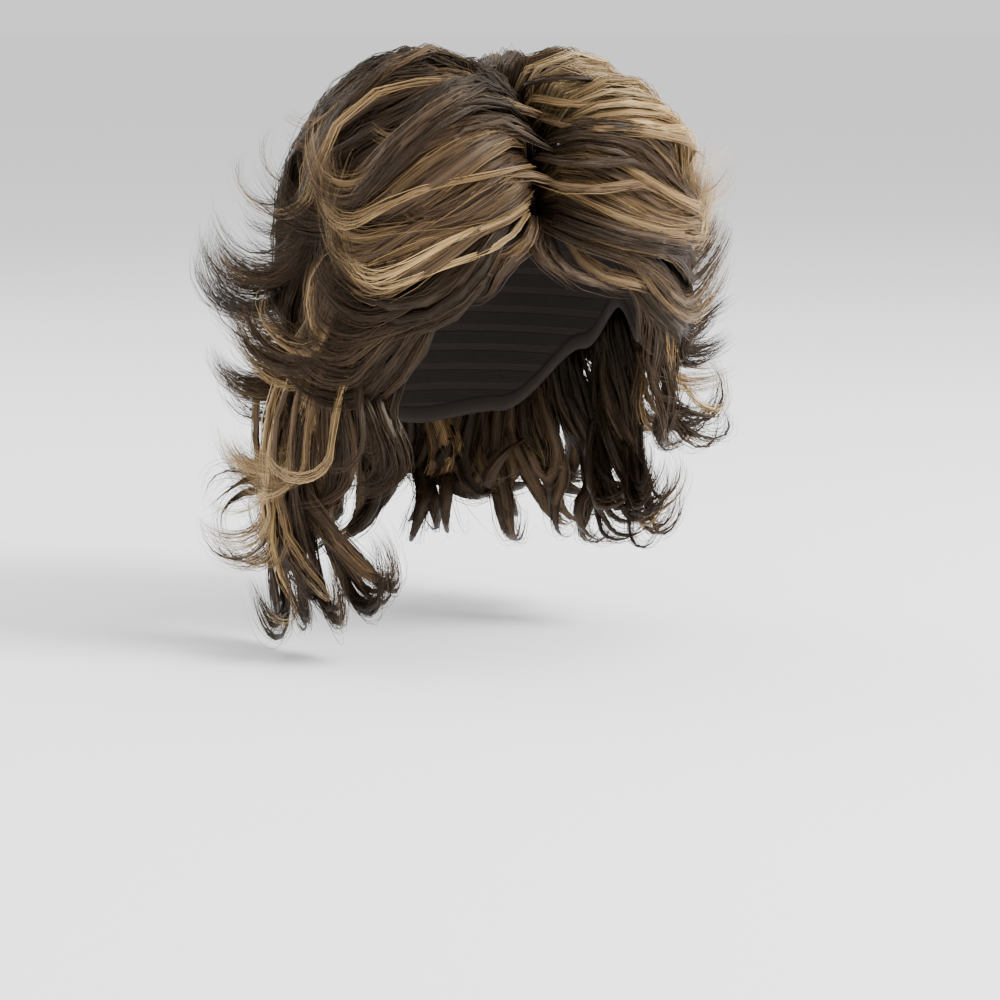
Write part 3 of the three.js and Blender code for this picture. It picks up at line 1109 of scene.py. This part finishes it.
@dataclass
class Cap:
    """The stretch cap: one thin wall open below and at the face, with a bound edge."""

    wall: float = 1.8 * MM
    binding_height: float = 9 * MM
    binding_wall: float = 1.7 * MM
    binding_fold: float = 1.1
    binding_sides: int = 12
    binding_row: float = 2.75
    columns: int = 120
    rings: int = 48
    map_girth: float = 600.0
    edge: tuple[Span, ...] = ((0, 102), (32, 113), (60, 166), (86, 150), (112, 176), (150, 214), (180, 220))

    def edge_way(self, turn: np.ndarray) -> np.ndarray:
        """Find the way down to the edge, the same on both sides.

        Args:
            turn: degrees from the face.

        Returns:
            The ways, in metres.
        """
        half = FULL_TURN / 2
        ahead = FULL_TURN + half
        fold = np.abs((np.asarray(turn) + ahead) % FULL_TURN - half)
        turns, ways = np.array(self.edge).T
        index = np.clip(np.searchsorted(turns, fold), 1, len(turns) - 1)
        share = ease((fold - turns[index - 1]) / (turns[index] - turns[index - 1]), 0, 1)
        return (ways[index - 1] + share * (ways[index] - ways[index - 1])) * MM

    def build(self) -> bpy.types.Object:
        """Make the cap's wall and its binding as one mesh.

        Returns:
            The object.
        """
        shape = bmesh.new()
        layer = shape.loops.layers.uv.new(CAP_MAP)
        self._wall(shape, layer)
        self._binding(shape, layer)
        made = bpy.data.meshes.new("cap_net")
        shape.to_mesh(made)
        shape.free()
        made.shade_smooth()
        piece = bpy.data.objects.new("cap_net", made)
        bpy.context.collection.objects.link(piece)
        LOG.info("%s: %d faces", piece.name, len(made.polygons))
        return piece

    def dress(self, made: bpy.types.Object, finish: bpy.types.Material) -> None:
        """Give the cap its finish and its place in the frame.

        Args:
            made: the cap's object.
            finish: the net's material.
        """
        made.data.materials.append(finish)
        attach(made, BODY)
        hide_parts("cap")

    @staticmethod
    def _grid(shape: bmesh.types.BMesh, columns: int, rows: int) -> list[bmesh.types.BMVert]:
        """Add a flat grid from 0 to 1 each way.

        Args:
            shape: where the grid goes.
            columns: its faces across.
            rows: its faces along.

        Returns:
            The grid's points.
        """
        half = 0.5
        middle = Matrix.Translation((half, half, 0))
        made = bmesh.ops.create_grid(shape, x_segments=columns, y_segments=rows, size=half, matrix=middle)
        return made["verts"]

    def _wall(self, shape: bmesh.types.BMesh, layer: bmesh.types.BMLayerItem) -> None:
        """Add the thin wall: a grid wrapped over the head, then thickened outward.

        Args:
            shape: where the wall goes.
            layer: the cap's map.
        """
        grid = self._grid(shape, self.columns, self.rings)
        places = np.array([point.co[:2] for point in grid])
        turn = FULL_TURN * places[:, 0]
        way = self.edge_way(turn) * places[:, 1]
        for face in shape.faces:
            for corner in face.loops:
                share = corner.vert.co
                down = float(self.edge_way(FULL_TURN * share.x)) * share.y / MM
                corner[layer].uv = (self.map_girth * share.x, down)
        for point, spot in zip(grid, HEAD.on(turn, way)):
            point.co = spot
        bmesh.ops.remove_doubles(shape, verts=grid, dist=MERGE)
        bmesh.ops.recalc_face_normals(shape, faces=shape.faces)
        if sum(face.normal.z * face.calc_area() for face in shape.faces) < 0:
            bmesh.ops.reverse_faces(shape, faces=shape.faces)
        bmesh.ops.solidify(shape, geom=shape.faces[:], thickness=-self.wall)

    def _binding(self, shape: bmesh.types.BMesh, layer: bmesh.types.BMLayerItem) -> None:
        """Add the elastic band that is folded round the edge.

        Args:
            shape: where the band goes.
            layer: the cap's map.
        """
        before = set(shape.faces)
        grid = self._grid(shape, 2 * self.columns, self.binding_sides)
        places = np.array([point.co[:2] for point in grid])
        turn, angle = FULL_TURN * places[:, 0], 2 * np.pi * places[:, 1]
        for face in set(shape.faces) - before:
            for corner in face.loops:
                corner[layer].uv = (self.map_girth * corner.vert.co.x, self.binding_row)
        way = self.edge_way(turn) - self.binding_height / 2 * (1 - self.binding_fold * np.cos(angle))
        out = self.wall / 2 + self.binding_wall * np.sin(angle)
        for point, spot in zip(grid, HEAD.beside(turn, way, out)):
            point.co = spot
        bmesh.ops.remove_doubles(shape, verts=grid, dist=MERGE)
        fresh = [face for face in shape.faces if face not in before]
        bmesh.ops.recalc_face_normals(shape, faces=fresh)


# The wefts from fringe to nape: a row is root, middle, end, curl and size, in degrees and millimetres
# Tone mixes and the tiers' lighter values hold the wig's own highlights and lowlights and also painted
# light: the wearer's left crown is lighter where the key light falls, and the wearer's right crown and upper
# side, the wearer's left side and the lower tier of the wearer's left fringe are darker as painted shade.
WEFTS = (
    Weft("fringe_right", (
        Tier(4, Row((6, 62), (26, 82, 41), (52, 98, 42), (30, 125, 80), (28, 10)),
             Row((11, 90), (29, 118, 27), (49, 128, 34), (30, 125, 85), (26, 9)), 0.15, 0.35, 0.6),
        Tier(4, Row((12, 93), (29, 129, 21), (51, 144, 31), (26, 120, 60), (24, 8)),
             Row((24, 101), (41, 152, 13), (62, 184, 22), (24, 130, 40), (23, 8)), -0.14, 0.4, 0.6),
    ), ToneMix(0.1, 0.3, 0.13, 0.25, 0.13, 0.07, 0.02), (
        Wisp(Row((9, 92), (16, 113, 10), (29, 135, 15), (20, 80, 60), (8, 4)), Tone.BROWN),
        Wisp(Row((9, 92), (12, 111, 9), (21, 131, 13), (20, 60, 60), (8, 4)), Tone.DARK),
        Wisp(Row((11, 91), (26, 124, 29), (43, 134, 36), (26, 100, 88), (4, 2.5)), Tone.GOLD),
        Wisp(Row((10, 88), (27, 118, 32), (46, 128, 38), (28, 110, 88), (4, 2.5)), Tone.GOLD),
        Wisp(Row((8, 76), (27, 98, 44), (50, 110, 47), (30, 115, 84), (3, 2)), Tone.WARM),
        Wisp(Row((3, 84), (9, 89, 28), (34, 103, 38), (20, 60, 70), (6, 3)), Tone.BROWN),
    ), lift=0.5, wave=6),
    Weft("fringe_left", (
        Tier(4, Row((3, 62), (-21, 80, 40), (-50, 97, 40), (24, 130, -80), (28, 10)),
             Row((6, 90), (-20, 114, 22), (-52, 129, 32), (18, 180, -60), (27, 9)), -0.03, 0.35, 0.6),
        Tier(4, Row((5, 94), (-21, 127, 15), (-52, 145, 27), (22, 130, -40), (25, 8)),
             Row((-18, 99), (-42, 150, 12), (-64, 182, 20), (20, 140, -10), (24, 8)), -0.2, 0.4, 0.6),
    ), ToneMix(0.12, 0.3, 0.14, 0.22, 0.12, 0.07, 0.03), (
        Wisp(Row((3, 72), (-21, 92, 37), (-50, 108, 40), (22, 140, -75), (4, 3)), Tone.GOLD),
        Wisp(Row((5, 84), (-20, 106, 31), (-50, 120, 38), (20, 160, -70), (4, 3)), Tone.WARM),
        Wisp(Row((7, 93), (-4, 114, 10), (-22, 136, 14), (18, 70, -50), (8, 4)), Tone.BROWN),
        Wisp(Row((8, 93), (4, 113, 9), (-8, 133, 12), (18, 60, -50), (8, 4)), Tone.DARK),
        Wisp(Row((8, 93), (8, 110, 8), (4, 126, 10), (18, 40, -50), (8, 4)), Tone.DARK),
        Wisp(Row((10, 82), (3, 88, 26), (-24, 101, 37), (20, 60, -70), (6, 3)), Tone.BROWN),
        Wisp(Row((10, 74), (2, 80, 31), (-26, 93, 40), (20, 60, -70), (6, 3)), Tone.DARK),
        Wisp(Row((-20, 101), (-25, 130, 6), (-31, 158, 7), (20, 50, -30), (9, 4)), Tone.DARK),
        Wisp(Row((-25, 102), (-29, 136, 6), (-36, 170, 8), (20, 60, -30), (9, 4)), Tone.DARK),
        Wisp(Row((-30, 104), (-34, 142, 7), (-42, 182, 9), (18, 80, -30), (9, 4)), Tone.DARK),
        Wisp(Row((-36, 107), (-40, 146, 8), (-48, 190, 10), (18, 90, -30), (9, 4)), Tone.DARK),
    ), lift=0.5, wave=6),
    # Dark mix and darker front tier: the wig's own lowlights and painted shade on the side away from the key
    # light.
    Weft("crown_right", (
        Tier(5, Row((5, 56), (30, 73, 47), (62, 104, 44), (34, 105, 50), (24, 12)),
             Row((30, 13), (82, 60, 48), (92, 118, 34), (27, 165, 20), (28, 12)), -0.08, 0.3, 0.6),
        Tier(4, Row((62, 10), (93, 62, 48), (100, 124, 28), (26, 195, 10), (32, 13)),
             Row((132, 12), (137, 66, 46), (135, 138, 26), (26, 200, 0), (34, 13)), -0.03, 0.45, 0.5),
    ), ToneMix(0.14, 0.4, 0.15, 0.2, 0.07, 0.03, 0.01), (
        Wisp(Row((8, 40), (44, 42, 46), (84, 78, 46), (15, 130, 20), (2, 2)), Tone.BROWN),
        Wisp(Row((10, 34), (60, 36, 45), (104, 70, 46), (15, 130, 10), (2, 2)), Tone.BROWN),
        Wisp(Row((12, 30), (52, 60, 51), (76, 98, 48), (26, 140, 40), (4, 3)), Tone.WARM),
        Wisp(Row((1, 66), (8, 71, 33), (36, 85, 46), (20, 60, 60), (6, 3)), Tone.DARK),
        Wisp(Row((0, 48), (8, 55, 34), (46, 74, 47), (20, 60, 50), (6, 3)), Tone.BROWN),
        Wisp(Row((-2, 32), (14, 40, 33), (66, 64, 46), (20, 60, 40), (6, 3)), Tone.DARK),
    ), lift=0.5, wave=10),
    # Lighter front tier and mix: the wig's own highlights and a painted highlight where the key light falls.
    Weft("crown_left", (
        Tier(5, Row((-3, 56), (-29, 72, 47), (-58, 98, 45), (28, 115, -50), (24, 12)),
             Row((-30, 13), (-82, 60, 48), (-92, 116, 30), (23, 170, -20), (28, 12)), 0.36, 0.3, 0.6),
        Tier(4, Row((-62, 10), (-93, 62, 48), (-100, 122, 26), (23, 190, -10), (32, 13)),
             Row((-132, 12), (-137, 66, 46), (-135, 138, 26), (26, 200, 0), (34, 13)), -0.05, 0.45, 0.5),
    ), ToneMix(0.04, 0.16, 0.12, 0.28, 0.24, 0.12, 0.04), (
        Wisp(Row((-10, 36), (-46, 40, 45), (-84, 74, 44), (14, 130, -20), (2, 2)), Tone.BROWN),
        Wisp(Row((-14, 30), (-60, 60, 51), (-70, 104, 46), (15, 250, -35), (4, 3)), Tone.GOLD),
        Wisp(Row((7, 58), (-1, 63, 34), (-30, 79, 46), (20, 60, -60), (6, 3)), Tone.BROWN),
        Wisp(Row((7, 42), (-3, 49, 34), (-42, 68, 46), (20, 60, -50), (6, 3)), Tone.WARM),
        Wisp(Row((6, 28), (-8, 36, 33), (-58, 60, 46), (20, 60, -40), (6, 3)), Tone.DARK),
    ), lift=0.5, wave=10),
    Weft("crown_back", (
        Tier(6, Row((146, 12), (146, 66, 47), (146, 142, 26), (25, 200, 0), (34, 13)),
             Row((214, 12), (214, 66, 47), (214, 142, 26), (25, 200, 0), (34, 13)), 0.0, 0.45, 0.5),
    ), ToneMix(), (
        Wisp(Row((162, -20), (156, 38, 42), (146, 104, 40), (22, 190, 0), (10, 5)), Tone.DARK),
        Wisp(Row((170, -28), (164, 34, 40), (156, 98, 42), (22, 190, 0), (10, 5)), Tone.BROWN),
        Wisp(Row((176, -36), (173, 30, 37), (168, 104, 42), (22, 190, 0), (10, 5)), Tone.DARK),
        Wisp(Row((180, -44), (180, 26, 35), (180, 94, 42), (22, 190, 0), (10, 5)), Tone.COOL),
        Wisp(Row((184, -36), (187, 30, 37), (192, 104, 42), (22, 190, 0), (10, 5)), Tone.BROWN),
        Wisp(Row((190, -28), (196, 34, 40), (204, 98, 42), (22, 190, 0), (10, 5)), Tone.DARK),
        Wisp(Row((198, -20), (204, 38, 42), (214, 104, 40), (22, 190, 0), (10, 5)), Tone.COOL),
    ), lift=0.55, hairs=15, wave=7),
    Weft("side_upper_right", (
        Tier(6, Row((50, 106), (62, 136, 26), (72, 158, 24), (25, 180, 45), (25, 10)),
             Row((130, 98), (126, 136, 28), (124, 160, 21), (25, 195, 0), (29, 11)), 0.02, 0.6, 0.4),
    ), ToneMix(0.18, 0.34, 0.12, 0.16, 0.08, 0.07, 0.05), (
        Wisp(Row((52, 106), (63, 160, 22), (66, 216, 32), (20, 170, 40), (5, 3)), Tone.WARM),
        Wisp(Row((60, 105), (71, 162, 25), (76, 222, 36), (18, 170, 20), (6, 4)), Tone.BROWN),
        Wisp(Row((56, 106), (58, 156, 19), (57, 206, 26), (18, 190, 80), (6, 4)), Tone.DARK),
        Wisp(Row((70, 104), (81, 164, 26), (86, 228, 36), (16, 180, 0), (5, 3)), Tone.BROWN),
    ), wave=7),
    # Dark mix and darker tier: the wig's own lowlights and painted shade on this side below the crown.
    Weft("side_upper_left", (
        Tier(6, Row((-50, 106), (-60, 136, 24), (-68, 160, 25), (20, 180, -25), (25, 10)),
             Row((-130, 98), (-126, 136, 28), (-124, 160, 22), (23, 195, 0), (29, 11)), -0.1, 0.6, 0.4),
    ), ToneMix(0.34, 0.4, 0.1, 0.08, 0.04, 0.03, 0.01), wave=7),
    Weft("back_upper", (
        Tier(6, Row((144, 108), (140, 152, 30), (139, 186, 24), (24, 200, 0), (37, 12)),
             Row((216, 108), (220, 152, 30), (221, 186, 24), (24, 200, 0), (37, 12)), 0.0, 0.6, 0.5),
    ), ToneMix(0.14, 0.3, 0.15, 0.25, 0.12, 0.03, 0.01), wave=7, hairs=12),
    Weft("side_lower_right", (
        Tier(2, Row((60, 148), (56, 190, 12), (54, 222, 15), (20, 110, 85), (22, 8)),
             Row((74, 136), (76, 192, 20), (76, 234, 24), (26, 90, 60), (26, 9)), -0.06, 0.5, 0.5),
        Tier(4, Row((86, 130), (90, 180, 24), (94, 208, 23), (23, 190, 20), (28, 10)),
             Row((132, 134), (128, 184, 25), (126, 214, 22), (24, 195, 0), (27, 10)), 0.36, 0.6, 0.4),
    ), ToneMix(0.14, 0.3, 0.12, 0.18, 0.1, 0.1, 0.06), (
        Wisp(Row((88, 132), (88, 186, 30), (84, 220, 34), (24, 170, 60), (5, 3)), Tone.GOLD),
        Wisp(Row((94, 134), (97, 190, 36), (97, 236, 42), (22, 165, 10), (5, 3)), Tone.BLOND),
        Wisp(Row((57, 147), (55, 182, 11), (54, 206, 13), (12, 190, 85), (6, 4)), Tone.DARK),
        Wisp(Row((80, 134), (85, 196, 29), (82, 262, 31), (26, 150, -60), (8, 5)), Tone.DARK),
        Wisp(Row((86, 132), (93, 196, 33), (92, 258, 38), (26, 150, -40), (7, 5)), Tone.BROWN),
        Wisp(Row((92, 132), (101, 196, 37), (102, 252, 42), (24, 150, -20), (6, 4)), Tone.GOLD),
        Wisp(Row((98, 134), (109, 196, 38), (111, 248, 44), (22, 160, 0), (7, 5)), Tone.BROWN),
    ), wave=7),
    # Dark mix and darker tiers: the wig's own lowlights and painted shade on this side below the crown.
    Weft("side_lower_left", (
        Tier(2, Row((-60, 148), (-56, 184, 11), (-55, 210, 13), (16, 170, -60), (22, 8)),
             Row((-74, 136), (-72, 182, 18), (-70, 204, 24), (19, 190, -20), (26, 9)), -0.04, 0.5, 0.5),
        Tier(4, Row((-86, 130), (-90, 174, 22), (-94, 198, 22), (20, 195, -10), (26, 10)),
             Row((-132, 134), (-128, 180, 24), (-126, 208, 22), (21, 195, 0), (25, 10)), -0.06, 0.65, 0.45),
    ), ToneMix(0.36, 0.34, 0.1, 0.1, 0.05, 0.03, 0.02), (
        Wisp(Row((-84, 132), (-80, 178, 26), (-76, 200, 34), (17, 220, -10), (3, 2)), Tone.GOLD),
        Wisp(Row((-90, 132), (-86, 184, 26), (-84, 212, 30), (16, 220, -10), (3, 2)), Tone.WARM),
        Wisp(Row((-46, 112), (-51, 152, 11), (-57, 196, 15), (16, 120, -40), (9, 5)), Tone.DARK),
        Wisp(Row((-52, 116), (-56, 158, 12), (-61, 206, 16), (16, 140, -40), (9, 5)), Tone.DARK),
    ), wave=7),
    Weft("back_lower", (
        Tier(6, Row((144, 146), (140, 202, 29), (139, 236, 26), (22, 195, 0), (34, 11)),
             Row((216, 146), (220, 202, 29), (221, 236, 26), (22, 195, 0), (34, 11)), 0.0, 0.6, 0.5),
    ), ToneMix(0.2, 0.35, 0.15, 0.22, 0.08, 0.0, 0.0), wave=7, hairs=12),
    Weft("nape", (
        Tier(6, Row((94, 150), (92, 226, 24), (64, 288, 18), (26, 175, -84), (30, 10)),
             Row((116, 170), (114, 236, 40), (102, 300, 38), (22, 170, -55), (34, 12)), 0.0, 0.85, 0.25),
        Tier(8, Row((124, 176), (121, 238, 32), (119, 262, 36), (23, 185, 0), (40, 11)),
             Row((236, 176), (239, 238, 20), (241, 262, 18), (17, 185, 0), (38, 11)), -0.03, 0.45, 1.0),
        Tier(4, Row((248, 168), (250, 230, 14), (262, 264, 10), (15, 185, 50), (26, 11)),
             Row((264, 152), (267, 218, 11), (290, 254, 10), (14, 190, 75), (22, 10)), -0.03, 0.45, 0.9),
    ), ToneMix(0.28, 0.36, 0.12, 0.16, 0.07, 0.01, 0.0), (
        Wisp(Row((112, 168), (109, 228, 39), (107, 250, 43), (24, 165, 0), (6, 4)), Tone.BLOND),
        Wisp(Row((114, 168), (111, 224, 39), (109, 246, 43), (23, 175, 0), (6, 4)), Tone.BLOND),
        Wisp(Row((108, 166), (104, 236, 39), (101, 260, 42), (22, 175, 5), (6, 4)), Tone.GOLD),
        Wisp(Row((116, 170), (113, 222, 40), (111, 240, 43), (22, 175, 0), (6, 4)), Tone.GOLD),
        Wisp(Row((104, 160), (98, 244, 40), (86, 298, 38), (22, 150, -30), (5, 4)), Tone.GOLD),
        Wisp(Row((100, 158), (93, 236, 34), (78, 288, 32), (24, 150, -50), (5, 4)), Tone.WARM),
    ), wave=7, uneven=14, hairs=12),
)


@dataclass(frozen=True)
class Lamp:
    """A soft square light: its place and side in metres, and its power."""

    name: str
    place: Triple
    side: float
    power: float


@dataclass
class Studio:
    """Floor, lights and camera."""

    floor_side: float = 200.0
    floor_gap: float = 0.002
    azimuth: float = -25.0
    elevation: float = 6.0
    distance: float = 1.8
    watched: Triple = (0.0, 0.0, -0.130)
    watched_pixel: Span = (485.6, 373.5)
    scale: float = 1.83
    image_side: int = 1000
    sensor: float = 36.0
    daylight: Rgb = (1.0, 1.0, 1.0)
    daylight_power: float = 1.1
    lamps: tuple[Lamp, ...] = (
        Lamp("key_light", (1.5, -1.7, 1.6), 1.1, 200.0),
        Lamp("fill_light", (-1.7, -1.3, 0.4), 1.6, 12.0),
        Lamp("top_light", (0.8, 0.0, 1.9), 1.5, 26.0),
        Lamp("rim_light", (-0.9, 1.8, 0.9), 1.4, 24.0),
    )

    def build(self) -> None:
        """Set up the whole studio."""
        self._floor()
        self._lights()
        self._world()
        self._camera()

    def _floor(self) -> None:
        """Lay the floor just below the lowest hair."""
        shape = bmesh.new()
        level = Matrix.Translation((0, 0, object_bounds()[0][2] - self.floor_gap))
        bmesh.ops.create_grid(shape, x_segments=1, y_segments=1, size=self.floor_side / 2, matrix=level)
        made = bpy.data.meshes.new("studio_floor")
        shape.to_mesh(made)
        shape.free()
        made.materials.append(FloorFinish().material())
        floor = bpy.data.objects.new("studio_floor", made)
        bpy.context.collection.objects.link(floor)
        floor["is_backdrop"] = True

    def _lights(self) -> None:
        """Hang the soft square lights, each facing the hair."""
        for lamp in self.lamps:
            light = bpy.data.lights.new(lamp.name, "AREA")
            light.size = lamp.side
            light.energy = lamp.power
            made = bpy.data.objects.new(lamp.name, light)
            made.location = lamp.place
            towards = Vector(self.watched) - Vector(lamp.place)
            made.rotation_euler = towards.to_track_quat("-Z", "Y").to_euler()
            bpy.context.collection.objects.link(made)

    def _world(self) -> None:
        """Fill the studio with even pale light."""
        world = bpy.data.worlds.new("studio")
        world.use_nodes = True
        inputs = world.node_tree.nodes["Background"].inputs
        inputs["Color"].default_value = (*self.daylight, 1.0)
        inputs["Strength"].default_value = self.daylight_power
        bpy.context.scene.world = world

    def _camera(self) -> None:
        """Stand the camera where the view was taken from."""
        turn, rise = math.radians(self.azimuth), math.radians(self.elevation)
        level = math.cos(rise)
        back = Vector((math.sin(turn) * level, -math.cos(turn) * level, math.sin(rise)))
        right = Vector((math.cos(turn), math.sin(turn), 0))
        up = back.cross(right)
        place = Vector(self.watched) + back * self.distance
        aside = [(self.image_side / 2 - pixel) / self.scale * MM for pixel in self.watched_pixel]
        aim = Vector(self.watched) + right * aside[0] - up * aside[1]
        lens = bpy.data.cameras.new("camera")
        lens.sensor_width = self.sensor
        lens.lens = self.scale * (self.distance / MM) * self.sensor / self.image_side
        made = bpy.data.objects.new("camera", lens)
        made.location = place
        made.rotation_euler = (aim - place).to_track_quat("-Z", "Y").to_euler()
        bpy.context.collection.objects.link(made)
        bpy.context.scene.camera = made


def main() -> None:
    """Build the cap, the wefts and the studio."""
    logging.basicConfig(level=logging.INFO, format="%(message)s")
    cap = Cap()
    cap.dress(cap.build(), NetFinish().material())
    hair = HairFinish().material()
    for order, weft in enumerate(WEFTS):
        weft.order = order
        weft.dress(weft.build(), hair)
    Studio().build()


if __name__ == "__main__":
    main()
